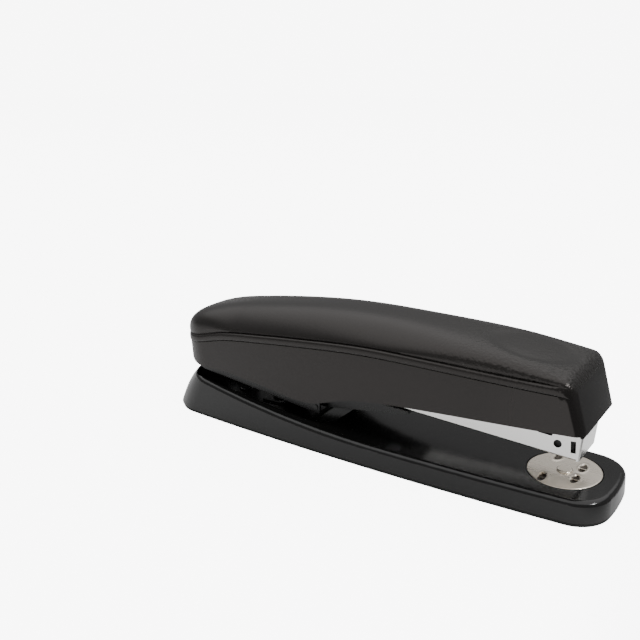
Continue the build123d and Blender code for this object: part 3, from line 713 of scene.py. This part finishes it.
# %% Anvil
disc_low, disc_high = (Vector(c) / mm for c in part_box("anvil_plate"))
disc_middle = (disc_low + disc_high) / 2
disc_radius = (disc_high.x - disc_low.x) / 2
clinch_ahead, clinch_apart, clinch_ridge = 4.3, 7.4, 0.75
pinning_ahead, pinning_apart, pinning_ridge = -clinch_ahead, 14.6, 0.3
leaf_long, leaf_wide, leaf_deep = 2.6, 1.25, 0.6
leaf_rim, rim_rises, rim_falls = 0.07, (0.85, 1.05), (1.1, 1.6)
ridge_half = 0.35
grooves = [
    (clinch_ahead, clinch_apart, clinch_ridge),
    (pinning_ahead, pinning_apart, pinning_ridge),
]


def pressed_height(x, y):
    """Height of the pressed relief at a place on the disc, from its middle, in millimetres."""
    relief = 0.0
    for side in (-1, 1):
        for ahead, apart, ridge in grooves:
            along = (y - side * apart / 2) / leaf_long
            across = (x - ahead) / leaf_wide
            reach = math.hypot(along, across)
            if reach < 1:
                kept = 1 - ridge * (1 - ramp(0.0, ridge_half, abs(along)))
                relief -= leaf_deep * (1 - reach**2) ** 0.5 * kept
            relief += leaf_rim * (ramp(*rim_rises, reach) - ramp(*rim_falls, reach))
    return relief


print("grooves:", [(ahead, side * apart / 2) for ahead, apart, _ in grooves for side in (-1, 1)])

# %% Anvil disc
spokes = 128
bore_radius, edge_round = 1.62, 0.3
flat_rings, edge_rings = 60, 4
flat_radius = disc_radius - edge_round
flat_width = flat_radius - bore_radius
profile = [(bore_radius + flat_width * i / flat_rings, None) for i in range(flat_rings + 1)]
for i in range(1, edge_rings + 1):
    turn = math.pi / 2 * i / edge_rings
    height = disc_high.z - edge_round * (1 - math.cos(turn))
    profile.append((flat_radius + edge_round * math.sin(turn), height))
profile += [(disc_radius, disc_low.z), (bore_radius, disc_low.z)]
anvil_mesh = bmesh.new()
anvil_rings = []
for radius, height in profile:
    ring = []
    for spoke in range(spokes):
        turn = 2 * math.pi * spoke / spokes
        x, y = radius * math.cos(turn), radius * math.sin(turn)
        z = disc_high.z + pressed_height(x, y) if height is None else height
        ring.append(anvil_mesh.verts.new(Vector((disc_middle.x + x, y, z)) * mm))
    anvil_rings.append(ring)
join_rows(anvil_mesh, anvil_rings + anvil_rings[:1], closed=True)
anvil_disc = piece_from(anvil_mesh, "anvil_disc", anvil_nickel, sharp_angle=50)
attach(anvil_disc, "anvil")
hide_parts("anvil_plate")
print("anvil disc:", len(anvil_disc.data.vertices), "points, radius", round(disc_radius, 1), "mm")

# %% [markdown]
# ## The springs
# The follower's spring is a long thin coil on a rod inside the rail. In the CAD it is a plain tube,
# so here it is wound as real wire: one ring of points is carried round a helix. It shortens as the
# follower goes back, but here it is wound at one length and rides with the magazine.

# %% Follower spring
slide = next(joint for joint in frame["joints"] if joint["name"] == "follower_slide")
rail_dir = Vector(slide["axis"]).normalized()
rail_up = Vector((0, 1, 0)).cross(rail_dir) * -1
tube_low, tube_high = (Vector(c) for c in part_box("follower_spring"))
coil_radius = (tube_high.y - tube_low.y) / 2
wire_radius = 0.00022
coil_turns = 42
steps_per_turn = 20
wire_sides = 6
coil_start = Vector((tube_low.x, 0, tube_high.z - coil_radius))
coil_end = Vector((tube_high.x, 0, tube_low.z + coil_radius))
coil_length = (coil_end - coil_start).length
coil_mesh = bmesh.new()
rings = []
for step in range(coil_turns * steps_per_turn + 1):
    angle = 2 * math.pi * step / steps_per_turn
    out = Vector((0, 1, 0)) * math.cos(angle) + rail_up * math.sin(angle)
    share = step / (coil_turns * steps_per_turn)
    centre = coil_start + rail_dir * (wire_radius + share * (coil_length - 2 * wire_radius))
    centre += out * (coil_radius - wire_radius)
    ring = []
    for side in range(wire_sides):
        turn = 2 * math.pi * side / wire_sides
        around = out * math.cos(turn) + rail_dir * math.sin(turn)
        ring.append(coil_mesh.verts.new(centre + around * wire_radius))
    rings.append(ring)
join_rows(coil_mesh, rings, closed=True)
coil_mesh.faces.new(rings[0])
coil_mesh.faces.new(rings[-1][::-1])
follower_coil = piece_from(coil_mesh, "follower_coil", spring_grey)
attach(follower_coil, "magazine")
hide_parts("follower_spring")
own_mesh(follower_coil)
print("coil of", coil_turns, "turns,", round(coil_length * 1000, 1), "mm long")

# %% [markdown]
# The return spring is a leaf of blackened steel. Its foot is riveted to the bracket, and its long
# arm holds the magazine up. A strip swept along a bent line gives it the soft bends that the
# CAD's straight runs leave out. It gives way downwards as the magazine is pressed, but here it is
# built at rest and stays fixed to the base.


# %% Return spring
def smooth_path(points, count):
    """Points along a rounded line through a few control points, as a NURBS spline gives them."""
    curve = bpy.data.curves.new("path", "CURVE")
    curve.dimensions = "3D"
    spline = curve.splines.new("NURBS")
    spline.points.add(len(points) - 1)
    for control, point in zip(spline.points, points):
        control.co = (*point, 1)
    spline.order_u = 3
    spline.use_endpoint_u = True
    spline.resolution_u = count
    holder = bpy.data.objects.new("path", curve)
    mesh = bpy.data.meshes.new_from_object(holder)
    line = [v.co.copy() for v in mesh.vertices]
    bpy.data.objects.remove(holder)
    bpy.data.meshes.remove(mesh)
    return line


leaf_low, leaf_high = (Vector(c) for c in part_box("return_spring"))
leaf_thickness = 0.0006
half_leaf = leaf_thickness / 2
leaf_taper = 0.25
leaf_points = [
    (leaf_low.x, 0, leaf_low.z + half_leaf),
    (leaf_low.x + 0.004, 0, leaf_low.z + half_leaf),
    (leaf_low.x + 0.0095, 0, leaf_low.z + half_leaf),
    (leaf_high.x - 0.010, 0, leaf_high.z - 0.0050),
    (leaf_high.x - 0.003, 0, leaf_high.z - 0.0006),
    (leaf_high.x, 0, leaf_high.z - half_leaf - 0.0002),
]
leaf_line = smooth_path(leaf_points, 10)
leaf_mesh = bmesh.new()
leaf_rows = []
for i, point in enumerate(leaf_line):
    ahead = leaf_line[min(i + 1, len(leaf_line) - 1)] - leaf_line[max(i - 1, 0)]
    normal = Vector((-ahead.z, 0, ahead.x)).normalized()
    share = i / (len(leaf_line) - 1)
    half_width = leaf_high.y * (1 - leaf_taper * share)
    row = []
    for across, lift in ((-1, -1), (1, -1), (1, 1), (-1, 1)):
        corner = point + Vector((0, across * half_width, 0)) + normal * lift * half_leaf
        row.append(leaf_mesh.verts.new(corner))
    leaf_rows.append(row)
join_rows(leaf_mesh, leaf_rows, closed=True, smooth=False)
leaf_mesh.faces.new(leaf_rows[0])
leaf_mesh.faces.new(leaf_rows[-1][::-1])
return_leaf = piece_from(leaf_mesh, "return_leaf", steel_black)
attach(return_leaf, "base")
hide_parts("return_spring")
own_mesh(return_leaf)
print("return spring rises to", round(leaf_high.z * 1000, 1), "mm")
